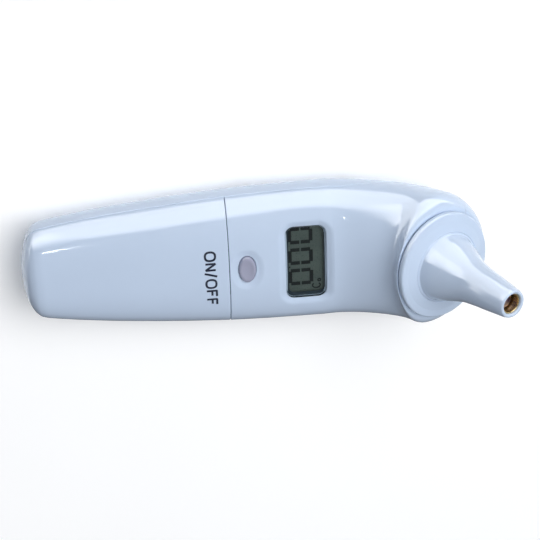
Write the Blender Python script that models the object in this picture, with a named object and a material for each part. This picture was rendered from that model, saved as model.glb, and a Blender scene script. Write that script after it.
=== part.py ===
"""Infrared ear thermometer: housing, sliding battery door, keys, display, probe and insides.

Sizes are in millimetres until a mesh is made; meshes are in metres. The thermometer lies on its
back: +X runs from the butt to the head, +Z comes out of the display and the origin is the centre
of the flat land on the back.
"""
import math

import bpy
import bmesh
import numpy as np

# ---- driving sizes, millimetres ---------------------------------------------------------------
WALL = 1.8               # housing wall
GAP = 0.3                # gap between neighbouring mouldings
COIN_DIAMETER = 20.0     # coin cell
COIN_THICKNESS = 3.2
LENS_WIDTH = 10.75       # display lens along the handle
LENS_LENGTH = 20.6       # display lens across the handle
HEAD_RADIUS = 14.9       # rim of the round head
HEAD_SQUASH = 0.955      # rim's second half axis as a share of the first
HEAD_TILT = 64.0         # probe axis above the handle's axis, degrees
PROBE_LENGTH = 28.7      # probe tip above the head's rim plane
TIP_RADIUS = 3.7         # rim of the probe's tip
BORE_RADIUS = 2.75       # hole in the probe's tip
SENSOR_DEPTH = 3.0       # sensor below the tip
KEY_WIDTH = 4.6          # power key along the handle
KEY_LENGTH = 7.5         # power key across the handle
KEY_TRAVEL = 0.5

# ---- sizes that follow from them --------------------------------------------------------------
COIN_X = 26.0 + COIN_DIAMETER / 2
SEAM_X = COIN_X + COIN_DIAMETER / 2 + 8.5
KEY_X = SEAM_X + KEY_WIDTH / 2 + 2.4
LENS_X = KEY_X + KEY_WIDTH / 2 + LENS_WIDTH / 2 + 8.1
NECK_X = LENS_X + LENS_WIDTH / 2 + 1.65
BATTERY_SHARE = 0.88     # half width over the battery, as a share of the widest
HALF_WIDTH = max(LENS_LENGTH / 2 + 8.8, (COIN_DIAMETER / 2 + 6.8) / BATTERY_SHARE)
HALF_FRONT = 10.3
HALF_BACK = 11.2
SPINE_BUTT = 10.4        # height of the housing's middle line above the rest plane, at the butt
SPINE_NECK = 11.1        # and at the neck
HEAD_X = NECK_X + HEAD_RADIUS + 12.6
HEAD_Z = SPINE_NECK + HEAD_RADIUS + 0.4
BUTT_ROUND = 5.9
SHOULDER_ROUND = 4.4
PARTING = 2.5            # parting line in front of the middle line along the handle
PARTING_HEAD = -11.0     # and at the head's rim, where it has run to the back
LAP = 1.2                # lap joint's height
RIM_EXTRA = 4.0          # the shells' forms run past the rim's plane before it cuts them
CAP_HOLE = HEAD_RADIUS - 4.95
NOZZLE_BASE = HEAD_RADIUS - 5.2
REST_START = 16.0
REST_END = NECK_X - 4.0
REST_X = (REST_START + REST_END) / 2

BOARD_TOP = 13.0
BOARD_THICKNESS = 1.2
BOARD_LOW = BOARD_TOP - BOARD_THICKNESS
BOARD_START = COIN_X - COIN_DIAMETER / 2 - 3.0
BOARD_END = NECK_X + 12.0
LENS_TOP = 19.3
LENS_THICKNESS = 0.9
CELL_TOP = 17.2
CELL_THICKNESS = 1.6
SCREW_Y = HALF_WIDTH - 5.9
SCREW_X = (KEY_X + 0.6, NECK_X + 5.5)
POST_TOP = 12.9          # top of the case screws' posts, below the parting line
PCB_SCREW_X = SEAM_X - 4.0
PCB_SCREW_Y = 9.5
SCAN_X = NECK_X + 8.0

# Sections along the middle line: where, as a share of its length, and the half width, front and
# back half thickness as shares of the three half sizes above.
SECTIONS = (
    (0.00, 0.64, 0.85, 0.77),   # butt
    (0.12, 0.76, 0.91, 0.90),
    (0.30, BATTERY_SHARE, 1.00, 1.00),
    (0.50, 0.97, 0.99, 1.00),
    (0.68, 1.00, 0.94, 0.99),   # display, the widest
    (0.82, 0.98, 1.07, 1.19),   # neck
    (0.92, 0.97, 1.15, 1.54),
    (1.00, 0.96, 1.38, 1.60),   # under the head's rim
)
SHARES, WIDTHS, FRONTS, BACKS = (np.array(column) for column in zip(*SECTIONS))
AROUND = 32

WHITE = (0.80, 0.84, 0.88)
METAL = (0.72, 0.72, 0.74)


# ---- collections, materials, meshes -----------------------------------------------------------
def clear_scene():
    for thing in list(bpy.data.objects):
        bpy.data.objects.remove(thing, do_unlink=True)


def collection(name):
    made = bpy.data.collections.new(name)
    bpy.context.scene.collection.children.link(made)
    return made


def material(name, colour, rough=0.4, metal=0.0, alpha=1.0):
    made = bpy.data.materials.new(name)
    made.use_nodes = True
    shader = made.node_tree.nodes["Principled BSDF"]
    shader.inputs["Base Color"].default_value = (*colour, 1.0)
    shader.inputs["Roughness"].default_value = rough
    shader.inputs["Metallic"].default_value = metal
    shader.inputs["Alpha"].default_value = alpha
    return made


def mesh_object(name, points, faces, where):
    """A closed mesh object from points in millimetres."""
    data = bpy.data.meshes.new(name)
    scaled = [((p[0] - REST_X) / 1000, p[1] / 1000, p[2] / 1000) for p in points]
    data.from_pydata(scaled, [], faces)
    work = bmesh.new()
    work.from_mesh(data)
    bmesh.ops.remove_doubles(work, verts=work.verts, dist=1e-7)
    bmesh.ops.recalc_face_normals(work, faces=work.faces)
    work.to_mesh(data)
    work.free()
    made = bpy.data.objects.new(name, data)
    where.objects.link(made)
    if where is CUTTERS:
        made.hide_render = True
        made.display_type = "WIRE"
    return made


def piece(made, colour, rough=0.4, metal=0.0, alpha=1.0):
    """Gives a finished piece its own material."""
    made.data.materials.append(material(made.name, colour, rough, metal, alpha))
    return made


def boolean(target, cutter, operation="DIFFERENCE"):
    step = target.modifiers.new(f"{operation.lower()}_{cutter.name}", "BOOLEAN")
    step.operation = operation
    step.solver = "EXACT"
    step.use_self = True
    step.object = cutter
    return target


# ---- basic forms ------------------------------------------------------------------------------
def rings_to_mesh(name, rings, where):
    """Skins a list of equal rings and closes both ends with flat caps."""
    count = len(rings[0])
    points = [tuple(p) for ring in rings for p in ring]
    faces = []
    for row in range(len(rings) - 1):
        for i in range(count):
            j = (i + 1) % count
            low = row * count
            faces.append((low + i, low + j, low + count + j, low + count + i))
    faces.append(tuple(reversed(range(count))))
    faces.append(tuple((len(rings) - 1) * count + i for i in range(count)))
    return mesh_object(name, points, faces, where)


def upright_prism(name, outline, low, high, where):
    """Extrudes an outline in X and Y from height low to height high."""
    rings = [[(x, y, z) for x, y in outline] for z in (low, high)]
    return rings_to_mesh(name, rings, where)


def side_prism(name, outline, half, where):
    """Extrudes an outline in X and Z across the whole width."""
    rings = [[(x, y, z) for x, z in outline] for y in (-half, half)]
    return rings_to_mesh(name, rings, where)


def box(name, low, high, where):
    outline = ((low[0], low[1]), (high[0], low[1]), (high[0], high[1]), (low[0], high[1]))
    return upright_prism(name, outline, low[2], high[2], where)


def rounded_rectangle(x, y, half_x, half_y, radius, steps=4):
    outline = []
    for turn, (sx, sy) in enumerate(((1, 1), (-1, 1), (-1, -1), (1, -1))):
        cx = x + sx * (half_x - radius)
        cy = y + sy * (half_y - radius)
        for i in range(steps + 1):
            a = math.radians(90 * turn + 90 * i / steps)
            outline.append((cx + radius * math.cos(a), cy + radius * math.sin(a)))
    return outline


def ellipse(x, y, half_x, half_y, steps=24):
    angles = [2 * math.pi * i / steps for i in range(steps)]
    return [(x + half_x * math.cos(a), y + half_y * math.sin(a)) for a in angles]


def disc(name, x, y, radius, low, high, where, steps=20):
    return upright_prism(name, ellipse(x, y, radius, radius, steps), low, high, where)


def revolve(name, profile, where, steps=32, place=None):
    """Turns a closed profile of (radius, height) about the probe's axis, or about place."""
    put = place or on_probe
    rings = []
    for i in range(steps):
        a = 2 * math.pi * i / steps
        rings.append([put(r * math.cos(a), r * math.sin(a), h) for r, h in profile])
    count = len(profile)
    points = [p for ring in rings for p in ring]
    faces = []
    for row in range(steps):
        for i in range(count):
            j = (i + 1) % count
            a, b = row * count, (row + 1) % steps * count
            quad = (a + i, a + j, b + j, b + i)
            faces.append(quad)
    faces = [f for f in faces if not on_axis(profile, f, count)]
    return mesh_object(name, points, [trim(profile, f, count) for f in faces], where)


def on_axis(profile, face, count):
    return all(profile[k % count][0] == 0 for k in face)


def trim(profile, face, count):
    """Drops the second of two corners that meet on the axis."""
    kept = []
    seen = set()
    for k in face:
        r, h = profile[k % count]
        if r == 0 and k % count in seen:
            continue
        seen.add(k % count if r == 0 else -1)
        kept.append(k)
    return tuple(kept)


# ---- the housing's middle line and its sections -----------------------------------------------
def probe_axis():
    a = math.radians(HEAD_TILT)
    return np.array([math.cos(a), math.sin(a)])


def middle_line():
    """Points along the middle line in X and Z: a straight handle and a curved neck."""
    start = np.array([0.0, SPINE_BUTT])
    neck = np.array([NECK_X, SPINE_NECK])
    head = np.array([HEAD_X, HEAD_Z])
    along = (neck - start) / np.linalg.norm(neck - start)
    pull = 0.9 * np.linalg.norm(head - neck)
    handle = [start + (neck - start) * k / 200 for k in range(200)]
    curve = []
    for k in range(201):
        t = k / 200
        a, b = 2 * t**3 - 3 * t**2 + 1, t**3 - 2 * t**2 + t
        c, d = 3 * t**2 - 2 * t**3, t**3 - t**2
        curve.append(a * neck + b * pull * along + c * head + d * pull * probe_axis())
    return np.array(handle + curve)


LINE = middle_line()
STEPS = np.linalg.norm(np.diff(LINE, axis=0), axis=1)
LENGTHS = np.concatenate([[0.0], np.cumsum(STEPS)])
LENGTH = LENGTHS[-1]
WAYS = np.gradient(LINE, LENGTHS, axis=0)
WAYS[-1] = probe_axis()


def middle(q):
    """Point, direction and front direction of the middle line at distance q from the butt."""
    inside = min(max(q, 0.0), LENGTH)
    point = np.array([np.interp(inside, LENGTHS, LINE[:, k]) for k in (0, 1)])
    along = np.array([np.interp(inside, LENGTHS, WAYS[:, k]) for k in (0, 1)])
    along = along / np.linalg.norm(along)
    point = point + along * (q - inside)
    return point, along, np.array([-along[1], along[0]])


def smooth(values, share):
    """Smooth curve through the values at SHARES."""
    slopes = np.gradient(values, SHARES)
    i = min(max(np.searchsorted(SHARES, share) - 1, 0), len(SHARES) - 2)
    wide = SHARES[i + 1] - SHARES[i]
    t = (share - SHARES[i]) / wide
    a, b = 2 * t**3 - 3 * t**2 + 1, t**3 - 2 * t**2 + t
    c, d = 3 * t**2 - 2 * t**3, t**3 - t**2
    return a * values[i] + b * wide * slopes[i] + c * values[i + 1] + d * wide * slopes[i + 1]


def half_sizes(q, inset):
    """Half width, front and back half thickness at distance q, a wall thickness in."""
    share = min(max(q / LENGTH, 0.0), 1.0)
    wide = HALF_WIDTH * smooth(WIDTHS, share)
    front = HALF_FRONT * smooth(FRONTS, share)
    back = HALF_BACK * smooth(BACKS, share)
    k = min(max((q - LENGTH + SHOULDER_ROUND) / SHOULDER_ROUND, 0.0), 1.0)
    if k > 0:
        f = math.sqrt(max(1 - k * k, 0.0))
        low = HEAD_RADIUS * HEAD_SQUASH
        wide = HEAD_RADIUS + (wide - HEAD_RADIUS) * f
        front = low + (front - low) * f
        back = low + (back - low) * f
    round_off = BUTT_ROUND - 0.3 * inset
    k = min(max((q - inset) / round_off, 0.0), 1.0)
    cap = math.sqrt(1 - (1 - k) ** 2.4)
    return tuple((size - inset) * cap for size in (wide, front, back))


def section(q, inset=0.0, around=AROUND):
    """Closed ring of points of the housing at distance q."""
    centre, along, front_way = middle(q)
    wide, front, back = half_sizes(q, inset)
    power = 2.5 - 0.5 * min(max((q / LENGTH - 0.7) / 0.22, 0.0), 1.0)
    ring = []
    for i in range(around):
        a = 2 * math.pi * (i + 0.5) / around
        c, s = math.cos(a), math.sin(a)
        y = wide * math.copysign(abs(c) ** (2 / power), c)
        h = (front if s > 0 else back) * math.copysign(abs(s) ** (2 / power), s)
        ring.append((centre[0] + front_way[0] * h, y, centre[1] + front_way[1] * h))
    return ring


def stations(inset, beyond):
    butt = [inset + k * BUTT_ROUND for k in (0.004, 0.05, 0.16, 0.34, 0.62, 1.0)]
    first, last = inset + BUTT_ROUND, LENGTH - SHOULDER_ROUND
    body = [first + (last - first) * k / 18 for k in range(1, 19)]
    rim = [last + SHOULDER_ROUND * k for k in (0.3, 0.55, 0.76, 0.91, 0.98, 1.0)]
    return butt + body + rim + ([LENGTH + beyond] if beyond else [])


def loft(name, inset, beyond, where):
    """The housing's form, moved in by inset; it may run on past the head's rim."""
    return rings_to_mesh(name, [section(q, inset) for q in stations(inset, beyond)], where)


def parting_height(q):
    """Distance of the parting line in front of the middle line."""
    start = NECK_X + 2.0
    t = min(max((q - start) / (LENGTH - start), 0.0), 1.0)
    return PARTING + (PARTING_HEAD - PARTING) * t * t * (3 - 2 * t)


def parting_line(offset):
    """Outline of the parting surface in X and Z, moved toward the front by offset."""
    outline = []
    for q in [-30.0, 0.0, *np.linspace(NECK_X * 0.5, LENGTH + 1.7, 18), LENGTH + 40.0]:
        centre, along, front_way = middle(q)
        outline.append(tuple(centre + front_way * (parting_height(q) + offset)))
    return outline


def rear_region(name, offset):
    outline = parting_line(offset)
    outline += [(260.0, outline[-1][1]), (260.0, -60.0), (outline[0][0], -60.0)]
    return side_prism(name, outline, 60.0, CUTTERS)


def front_region(name, offset):
    """Everything in front of the parting surface."""
    outline = parting_line(offset)
    outline += [(outline[-1][0], 140.0), (outline[0][0], 140.0)]
    return side_prism(name, outline, 60.0, CUTTERS)


def slab(name, start, end):
    """Everything between two X positions."""
    return box(name, (start, -50.0, -50.0), (end, 50.0, 120.0), CUTTERS)


def band(name, low, high):
    lower, upper = parting_line(low), parting_line(high)
    return side_prism(name, lower + upper[::-1], 60.0, CUTTERS)


def on_oval_rim(across, side, height):
    """As on_probe, but drawn in toward the rim's shorter half axis."""
    radius = math.hypot(across, side)
    share = min(max((radius - HEAD_RADIUS + 3.5) / 3.5, 0.0), 1.0)
    return on_probe(across * (1 - share * (1 - HEAD_SQUASH)), side, height)


def on_probe(across, side, height):
    """Point at a height above the head's rim plane, off the probe's axis."""
    p = probe_axis()
    x = HEAD_X + p[0] * height + p[1] * across
    z = HEAD_Z + p[1] * height - p[0] * across
    return (x, side, z)


# ---- housing ----------------------------------------------------------------------------------
def leave_post(hollow, name, x, y, radius, low, high):
    """Takes a round post out of a shell's hollow, so that it stays standing in the shell."""
    boolean(hollow, disc(name, x, y, radius, low, high, CUTTERS, 16))


def case_screw_places(name):
    """Name, X and Y of each case screw."""
    return [(f"{name}_{i}{'ab'[side > 0]}", x, side * SCREW_Y)
            for i, x in enumerate(SCREW_X) for side in (-1, 1)]


def cut_rim(target, name):
    """Cuts a shell off square at the head's rim plane."""
    profile = [(0.0, -0.03), (30.0, -0.03), (30.0, 30.0), (0.0, 30.0)]
    boolean(target, revolve(name, profile, CUTTERS, 16))


def case_holes(target, name):
    for tag, x, y in case_screw_places(name):
        if name == "rear":
            boolean(target, disc(f"{tag}_head", x, y, 2.25, -2.0, 6.2, CUTTERS))
            boolean(target, disc(f"{tag}_hole", x, y, 1.2, 5.0, 14.0, CUTTERS, 12))
        else:
            boolean(target, disc(f"{tag}_pilot", x, y, 1.05, 12.0, 16.0, CUTTERS, 12))


def make_rear_shell():
    shell = loft("rear_shell", 0.0, RIM_EXTRA, PIECES)
    boolean(shell, rear_region("rear_side", -GAP / 2), "INTERSECT")
    lip = loft("rear_lip", 0.58 * WALL, 0.75 * RIM_EXTRA, CUTTERS)
    boolean(lip, band("rear_lip_band", -2.5, LAP - GAP / 2), "INTERSECT")
    boolean(shell, lip, "UNION")
    hollow = loft("rear_hollow", WALL, 2 * RIM_EXTRA, CUTTERS)
    for tag, x, y in case_screw_places("rear"):
        leave_post(hollow, f"{tag}_post", x, y, 2.9, -1.0, POST_TOP)
    pilots = []
    for tag, y in (("a", -PCB_SCREW_Y), ("b", PCB_SCREW_Y)):
        leave_post(hollow, f"board_post_{tag}", PCB_SCREW_X, y, 2.4, -1.0, BOARD_LOW - 0.1)
        pilots.append(disc(f"board_pilot_{tag}", PCB_SCREW_X, y, 0.85, 5.0, BOARD_TOP, CUTTERS, 12))
    boolean(shell, hollow)
    cut_rim(shell, "rear_rim")
    for pilot in pilots:
        boolean(shell, pilot)
    case_holes(shell, "rear")
    boolean(shell, disc("scan_hole", SCAN_X, 0, 4.8, -3.0, 6.0, CUTTERS, 28))
    land = box("rest_land", (-20, -40, -20), (140, 40, 0.0), CUTTERS)
    boolean(shell, land)
    return piece(shell, WHITE, 0.25)


def make_front_shell():
    shell = loft("front_shell", 0.0, RIM_EXTRA, PIECES)
    boolean(shell, front_region("front_side", GAP / 2), "INTERSECT")
    boolean(shell, slab("front_end", SEAM_X + GAP / 2, 400.0), "INTERSECT")
    half_x, half_y = LENS_WIDTH / 2, LENS_LENGTH / 2
    hollow = loft("front_hollow", WALL, 2 * RIM_EXTRA, CUTTERS)
    pad = rounded_rectangle(LENS_X, 0, half_x + 1.7, half_y + 1.4, 3.4)
    boolean(hollow, upright_prism("lens_pad", pad, 17.45, 19.15, CUTTERS))
    for tag, x, y in case_screw_places("front"):
        leave_post(hollow, f"{tag}_boss", x, y, 2.5, 12.0, 30.0)
    boolean(shell, hollow)
    rebate = loft("front_rebate", 0.42 * WALL, 1.4 * RIM_EXTRA, CUTTERS)
    boolean(rebate, band("front_rebate_band", -2.0, LAP + GAP / 2), "INTERSECT")
    boolean(shell, rebate)
    cut_rim(shell, "front_rim")
    recess = rounded_rectangle(LENS_X, 0, half_x + 0.15, half_y + 0.15, 2.35)
    boolean(shell, upright_prism("lens_recess", recess, LENS_TOP - 1.0, 30.0, CUTTERS))
    sight = rounded_rectangle(LENS_X, 0, half_x - 0.6, half_y - 0.6, 1.7)
    boolean(shell, upright_prism("lens_sight", sight, 15.0, 20.0, CUTTERS))
    hole = ellipse(KEY_X, 0, KEY_WIDTH / 2 + GAP, KEY_LENGTH / 2 + GAP, 28)
    boolean(shell, upright_prism("key_hole", hole, 16.0, 30.0, CUTTERS))
    case_holes(shell, "front")
    return piece(shell, WHITE, 0.25)


def inner_front(x):
    """Height of the front wall's inner surface on the centre line."""
    return middle(x)[0][1] + half_sizes(x, WALL)[1]


def make_battery_door():
    door = loft("battery_door", 0.0, RIM_EXTRA, PIECES)
    boolean(door, front_region("door_side", GAP / 2), "INTERSECT")
    boolean(door, slab("door_end", -60.0, SEAM_X - GAP / 2), "INTERSECT")
    boolean(door, loft("door_hollow", WALL, 2 * RIM_EXTRA, CUTTERS))
    rebate = loft("door_rebate", 0.42 * WALL, 1.4 * RIM_EXTRA, CUTTERS)
    boolean(rebate, band("door_rebate_band", -2.0, LAP + GAP / 2), "INTERSECT")
    boolean(door, rebate)
    top = inner_front(SEAM_X) - 0.3
    tab = [(SEAM_X - 4.0, top - 0.85), (SEAM_X + 1.0, top - 0.85), (SEAM_X + 1.0, top),
           (SEAM_X - 0.6, top), (SEAM_X - 0.9, top + 1.1), (SEAM_X - 4.0, top + 1.1)]
    boolean(door, side_prism("door_tab", tab, 4.5, CUTTERS), "UNION")
    return piece(door, WHITE, 0.25)


# ---- head -------------------------------------------------------------------------------------
def make_head_cap():
    rim = HEAD_RADIUS - 0.15
    profile = [(rim, 0.15), (rim, 0.75), (rim - 0.3, 1.3), (rim - 0.85, 1.75),
               (rim - 1.7, 2.1), (rim - 2.8, 2.4), (CAP_HOLE + 0.75, 3.0), (CAP_HOLE + 0.2, 3.05),
               (CAP_HOLE, 2.85), (CAP_HOLE, 1.1), (CAP_HOLE + 1, 1.1), (CAP_HOLE + 1, -1.0),
               (rim - WALL - 1.3, -1.0), (rim - WALL - 1.3, 0.15)]
    return piece(revolve("head_cap", profile, PIECES, 48, on_oval_rim), WHITE, 0.25)


def flare(share):
    """Radius of the probe, from 0 at the tip to 1 at its foot."""
    return TIP_RADIUS + share * (NOZZLE_BASE - TIP_RADIUS)


def nozzle_outline():
    """Outer outline of the probe, from the groove in the cap up to the tip."""
    shares = ((1.0, 0.092), (0.933, 0.122), (0.8, 0.195), (0.558, 0.325), (0.358, 0.452),
              (0.242, 0.593), (0.175, 0.72), (0.1, 0.85), (0.033, 0.96), (0.0, 0.99))
    outline = [(flare(share), height * PROBE_LENGTH) for share, height in shares]
    return outline + [(TIP_RADIUS - 0.25, PROBE_LENGTH)]


def make_probe_nozzle():
    foot = NOZZLE_BASE + 1.05
    outer = [(foot, -0.3), (foot, 0.75), (NOZZLE_BASE, 0.75)] + nozzle_outline()
    full = PROBE_LENGTH
    low = full - 11.0
    inner = [(BORE_RADIUS, full), (BORE_RADIUS, low), (BORE_RADIUS + 0.7, low - 1.2),
             (flare(0.358) - 1.45, 0.452 * full), (flare(0.558) - 1.45, 0.325 * full),
             (flare(0.8) - 1.5, 0.195 * full), (NOZZLE_BASE - 1.6, 0.09 * full),
             (NOZZLE_BASE - 1.6, -0.3)]
    return piece(revolve("probe_nozzle", outer + inner, PIECES, 40), WHITE, 0.25)


def make_waveguide():
    """Gold-plated sleeve at the tip, in front of the sensor."""
    r = BORE_RADIUS - 0.05
    low, high = PROBE_LENGTH - SENSOR_DEPTH - 4.5, PROBE_LENGTH - 0.7
    profile = [(r, low), (r, high), (r - 0.3, high), (r - 0.3, low)]
    return piece(revolve("waveguide", profile, PIECES, 28), (0.83, 0.61, 0.28), 0.2, 1.0)


def sensor_pin_places():
    reach = 0.5 * (BORE_RADIUS - 0.45)
    angles = [math.radians(45 + 90 * i) for i in range(4)]
    return [(reach * math.cos(a), reach * math.sin(a)) for a in angles]


def make_sensor():
    """Thermopile in its can, its window, its metal holder and the board behind it."""
    top = PROBE_LENGTH - SENSOR_DEPTH
    r = BORE_RADIUS - 0.45
    can = [(0, top - 3.0), (r, top - 3.0), (r, top - 0.25), (r - 0.25, top), (0.68 * r, top),
           (0.68 * r, top - 0.45), (0, top - 0.45)]
    made = revolve("sensor_can", can, PIECES, 24)
    holder_low = top - 9.5
    board_low = holder_low - 1.4
    for i, (x, y) in enumerate(sensor_pin_places()):
        pin = [(0, board_low - 0.4), (0.22, board_low - 0.4), (0.22, top - 2.8), (0, top - 2.8)]
        shape = revolve(f"pin_{i}", pin, CUTTERS, 8, lambda u, v, h: on_probe(x + u, y + v, h))
        boolean(made, shape, "UNION")
    piece(made, METAL, 0.3, 1.0)
    view = [(0, top - 0.4), (0.68 * r - 0.08, top - 0.4), (0.68 * r - 0.08, top - 0.1),
            (0, top - 0.1)]
    piece(revolve("sensor_window", view, PIECES, 20), (0.03, 0.03, 0.04), 0.1)
    r = BORE_RADIUS - 0.12
    hold = [(r, top - 4.65), (0, top - 4.65), (0, holder_low), (r, holder_low)]
    made = revolve("sensor_holder", hold, PIECES, 28)
    pin_holes(made, holder_low, top, "holder")
    piece(made, METAL, 0.35, 1.0)
    r = BORE_RADIUS + 0.5
    board = [(0, board_low), (r, board_low), (r, board_low + 1.0), (0, board_low + 1.0)]
    made = revolve("sensor_board", board, PIECES, 28)
    pin_holes(made, board_low, top, "board")
    piece(made, (0.04, 0.22, 0.10), 0.45)


def pin_holes(target, low, high, name):
    for i, (x, y) in enumerate(sensor_pin_places()):
        hole = [(0, low - 1), (0.37, low - 1), (0.37, high), (0, high)]
        boolean(target, revolve(f"{name}_pin_hole_{i}", hole, CUTTERS, 8,
                                lambda u, v, h: on_probe(x + u, y + v, h)))


def make_sensor_flex():
    """Ribbon from the back of the sensor board to the end of the main board."""
    start = np.array(on_probe(0, 0, PROBE_LENGTH - SENSOR_DEPTH - 11.5))[[0, 2]]
    end = np.array([BOARD_END - 0.3 - 3.0, BOARD_TOP + 0.25])
    pull = 0.9 * np.linalg.norm(end - start)
    rings = []
    for k in range(13):
        t = k / 12
        a, b = 2 * t**3 - 3 * t**2 + 1, t**3 - 2 * t**2 + t
        c, d = 3 * t**2 - 2 * t**3, t**3 - t**2
        p = a * start - b * pull * probe_axis() + c * end + d * pull * np.array([-1.0, 0.0])
        rings.append(p)
    made = []
    for k, p in enumerate(rings):
        way = rings[min(k + 1, 12)] - rings[max(k - 1, 0)]
        way = way / np.linalg.norm(way)
        side = np.array([-way[1], way[0]]) * 0.12
        made.append([(p[0] + s * side[0], y, p[1] + s * side[1])
                     for s, y in ((1, -2.2), (1, 2.2), (-1, 2.2), (-1, -2.2))])
    return piece(rings_to_mesh("sensor_flex", made, PIECES), (0.72, 0.42, 0.10), 0.4)


# ---- display and keys -------------------------------------------------------------------------
def make_display():
    half_x, half_y = LENS_WIDTH / 2, LENS_LENGTH / 2
    lens = rounded_rectangle(LENS_X, 0, half_x, half_y, 2.2, 6)
    lens = upright_prism("display_lens", lens, LENS_TOP - LENS_THICKNESS, LENS_TOP, PIECES)
    piece(lens, (0.75, 0.82, 0.80), 0.05, 0.0, 0.35)
    low = CELL_TOP - CELL_THICKNESS
    cell = box("lcd_glass", (LENS_X - half_x - 1.4, -half_y - 0.7, low),
               (LENS_X + half_x + 1.4, half_y + 0.7, CELL_TOP), PIECES)
    piece(cell, (0.34, 0.39, 0.36), 0.15)
    for i, side in enumerate((-1, 1)):
        x = LENS_X + side * (half_x + 0.4)
        strip = box(f"zebra_strip_{i + 1}", (x - 0.75, -half_y + 0.5, BOARD_TOP + 0.05),
                    (x + 0.75, half_y - 0.5, low - 0.05), PIECES)
        piece(strip, (0.55, 0.56, 0.58), 0.7)
    frame = box("lcd_frame", (LENS_X - half_x - 2.7, -half_y - 2.2, BOARD_TOP + 0.1),
                (LENS_X + half_x + 2.7, half_y + 2.2, CELL_TOP - 0.9), PIECES)
    well = box("lcd_well", (LENS_X - half_x - 1.6, -half_y - 0.9, low - 0.1),
               (LENS_X + half_x + 1.6, half_y + 0.9, 30.0), CUTTERS)
    boolean(frame, well)
    hollow = box("lcd_hollow", (LENS_X - half_x - 0.55, -half_y + 0.3, 8.0),
                 (LENS_X + half_x + 0.55, half_y - 0.3, 30.0), CUTTERS)
    for i, side in enumerate((-1, 1)):
        x = LENS_X + side * (half_x + 0.4)
        slot = box(f"zebra_slot_{i + 1}", (x - 0.9, -half_y + 0.3, 8.0),
                   (x + 0.9, half_y - 0.3, 30.0), CUTTERS)
        boolean(frame, slot)
    boolean(frame, hollow)
    return piece(frame, (0.82, 0.82, 0.80), 0.5)


def switch_body(name, x, low, high, mouth_up, where_y=0.0):
    """Tactile switch with a bore that its plunger works in."""
    body = upright_prism(name, rounded_rectangle(x, where_y, 3.0, 3.0, 0.5, 2), low, high, PIECES)
    bore = (high - 1.7, high + 1.0) if mouth_up else (low - 1.0, low + 1.7)
    boolean(body, disc(f"{name}_bore", x, where_y, 1.8, *bore, CUTTERS, 20))
    return piece(body, (0.05, 0.05, 0.055), 0.4)


def make_power_key():
    top = key_surface() + 0.15
    rings = []
    for share, h in ((1.0, top - 0.5), (0.96, top - 0.28), (0.86, top - 0.12), (0.6, top - 0.02),
                     (0.25, top)):
        outline = ellipse(KEY_X, 0, share * KEY_WIDTH / 2, share * KEY_LENGTH / 2, 28)
        rings.append([(x, y, h) for x, y in outline])
    rings = [[(x, y, 18.3) for x, y, z in rings[0]]] + rings
    cap = rings_to_mesh("power_button", rings, PIECES)
    flange = ellipse(KEY_X, 0, KEY_WIDTH / 2 + 1.1, KEY_LENGTH / 2 + 1.1, 28)
    boolean(cap, upright_prism("key_flange", flange, 17.6, 18.5, CUTTERS), "UNION")
    boolean(cap, disc("key_stem", KEY_X, 0, 1.5, 16.45, 17.9, CUTTERS, 16), "UNION")
    piece(cap, WHITE, 0.3)
    switch_body("power_switch", KEY_X, BOARD_TOP + 0.05, 15.9, True)
    plunger = disc("power_plunger", KEY_X, 0, 1.6, 14.85, 16.4, PIECES, 20)
    piece(plunger, (0.75, 0.74, 0.70), 0.5)


def key_surface():
    """Height of the housing's front surface at the power key."""
    return middle(KEY_X)[0][1] + half_sizes(KEY_X, 0.0)[1]


def scan_surface():
    """Height of the housing's back surface at the scan key."""
    best = min(range(400), key=lambda k: abs(back_point(LENGTH * k / 400)[0] - SCAN_X))
    return max(back_point(LENGTH * best / 400)[1], 0.0)


def back_point(q):
    centre, along, front_way = middle(q)
    return centre - front_way * half_sizes(q, 0.0)[2]


def make_scan_key():
    out = scan_surface() + 0.25
    cap = disc("scan_button", SCAN_X, 0, 4.5, out, out + 3.0, PIECES, 28)
    inside = out + WALL + 0.75
    flange = disc("scan_flange", SCAN_X, 0, 5.6, inside, inside + 0.9, CUTTERS, 28)
    boolean(cap, flange, "UNION")
    stem_top = BOARD_LOW - 3.6
    boolean(cap, disc("scan_stem", SCAN_X, 0, 1.5, out + 2.0, stem_top, CUTTERS, 16), "UNION")
    piece(cap, (0.45, 0.62, 0.80), 0.35)
    switch_body("scan_switch", SCAN_X, BOARD_LOW - 3.0, BOARD_LOW - 0.05, False)
    plunger = disc("scan_plunger", SCAN_X, 0, 1.6, stem_top + 0.05, stem_top + 1.6, PIECES, 20)
    piece(plunger, (0.75, 0.74, 0.70), 0.5)


# ---- board and battery ------------------------------------------------------------------------
def make_board():
    wide = LENS_LENGTH / 2 + 2.2
    slim = SCREW_Y - 3.3
    a, b = LENS_X - LENS_WIDTH / 2 - 3.5, LENS_X + LENS_WIDTH / 2 + 3.5
    low_end = COIN_DIAMETER / 2 + 2.0
    c = SEAM_X - 0.5
    side = [(BOARD_START, 7.5), (BOARD_START + 4.0, low_end), (c, low_end), (c + 2.0, slim),
            (a - 2.0, slim), (a, wide), (b, wide), (b + 1.5, slim), (BOARD_END, slim - 2.5)]
    outline = side + [(x, -y) for x, y in reversed(side)]
    board = upright_prism("main_pcb", outline, BOARD_LOW, BOARD_TOP, PIECES)
    for i, y in enumerate((-PCB_SCREW_Y, PCB_SCREW_Y)):
        boolean(board, disc(f"board_hole_{i}", PCB_SCREW_X, y, 1.15, 5.0, 20.0, CUTTERS, 14))
    return piece(board, (0.03, 0.20, 0.09), 0.4)


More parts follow.
